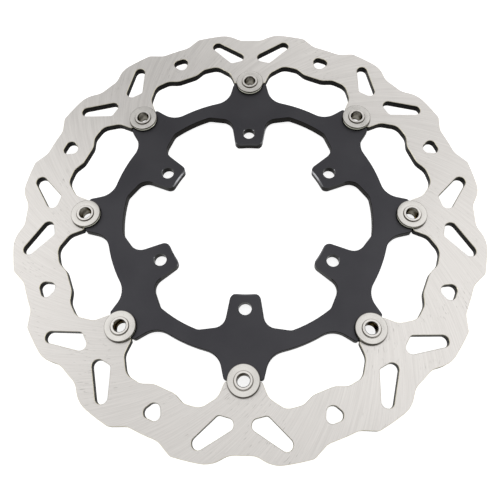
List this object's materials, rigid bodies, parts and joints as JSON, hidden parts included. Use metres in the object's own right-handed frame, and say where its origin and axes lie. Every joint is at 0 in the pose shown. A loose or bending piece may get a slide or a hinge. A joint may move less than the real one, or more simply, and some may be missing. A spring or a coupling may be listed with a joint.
{
  "type": "brake disc rotor",
  "caption": "Floating motorcycle brake disc: a wave-edged steel friction ring hung on a dark aluminium carrier by spinning bobbins, with tabs that bolt to the wheel hub.",
  "frame": {"origin": "on the wheel axis, in the carrier's back face, which meets the wheel hub", "axes": "+Z along the wheel axis towards the front, the side with the bobbin lips and flat washers; +Y through bobbin 1 and through one hub tab; +X through bobbin 7"},
  "size_m": [0.3166, 0.3166, 0.0102],
  "materials": {
    "ring_steel": "ground stainless steel",
    "carrier_anodised": "satin black anodised",
    "bobbin_steel": "turned, bright",
    "washer_steel": "turned, bright",
    "spring_steel": "plain spring steel"
  },
  "bodies": {
    "carrier": {"carrier": "carrier_anodised"},
    "spring_set": {"disc_spring_1": "spring_steel", "disc_spring_2": "spring_steel", "disc_spring_3": "spring_steel", "disc_spring_4": "spring_steel", "disc_spring_5": "spring_steel", "disc_spring_6": "spring_steel", "disc_spring_7": "spring_steel", "disc_spring_8": "spring_steel"},
    "ring": {"friction_ring": "ring_steel"},
    "bobbin_1": {"bobbin_1": "bobbin_steel", "flat_washer_1": "washer_steel"},
    "bobbin_2": {"bobbin_2": "bobbin_steel", "flat_washer_2": "washer_steel"},
    "bobbin_3": {"bobbin_3": "bobbin_steel", "flat_washer_3": "washer_steel"},
    "bobbin_4": {"bobbin_4": "bobbin_steel", "flat_washer_4": "washer_steel"},
    "bobbin_5": {"bobbin_5": "bobbin_steel", "flat_washer_5": "washer_steel"},
    "bobbin_6": {"bobbin_6": "bobbin_steel", "flat_washer_6": "washer_steel"},
    "bobbin_7": {"bobbin_7": "bobbin_steel", "flat_washer_7": "washer_steel"},
    "bobbin_8": {"bobbin_8": "bobbin_steel", "flat_washer_8": "washer_steel"}
  },
  "joints": [
    {"name": "ring_lash", "type": "hinge", "parent": "carrier", "child": "spring_set", "pos_m": [0, 0, 0], "axis": [0, 0, 1], "range_deg": [-0.1, 0.1]},
    {"name": "ring_float", "type": "slide", "parent": "spring_set", "child": "ring", "axis": [0, 0, 1], "range_m": [0, 0.0003], "deforming": ["disc_spring_1", "disc_spring_2", "disc_spring_3", "disc_spring_4", "disc_spring_5", "disc_spring_6", "disc_spring_7", "disc_spring_8"]},
    {"name": "bobbin_1_spin", "type": "hinge", "parent": "carrier", "child": "bobbin_1", "pos_m": [0, 0.1112, 0.00275], "axis": [0, 0, 1], "continuous": true},
    {"name": "bobbin_2_spin", "type": "hinge", "parent": "carrier", "child": "bobbin_2", "pos_m": [-0.07863, 0.07863, 0.00275], "axis": [0, 0, 1], "continuous": true},
    {"name": "bobbin_3_spin", "type": "hinge", "parent": "carrier", "child": "bobbin_3", "pos_m": [-0.1112, 0, 0.00275], "axis": [0, 0, 1], "continuous": true},
    {"name": "bobbin_4_spin", "type": "hinge", "parent": "carrier", "child": "bobbin_4", "pos_m": [-0.07863, -0.07863, 0.00275], "axis": [0, 0, 1], "continuous": true},
    {"name": "bobbin_5_spin", "type": "hinge", "parent": "carrier", "child": "bobbin_5", "pos_m": [0, -0.1112, 0.00275], "axis": [0, 0, 1], "continuous": true},
    {"name": "bobbin_6_spin", "type": "hinge", "parent": "carrier", "child": "bobbin_6", "pos_m": [0.07863, -0.07863, 0.00275], "axis": [0, 0, 1], "continuous": true},
    {"name": "bobbin_7_spin", "type": "hinge", "parent": "carrier", "child": "bobbin_7", "pos_m": [0.1112, 0, 0.00275], "axis": [0, 0, 1], "continuous": true},
    {"name": "bobbin_8_spin", "type": "hinge", "parent": "carrier", "child": "bobbin_8", "pos_m": [0.07863, 0.07863, 0.00275], "axis": [0, 0, 1], "continuous": true}
  ]
}
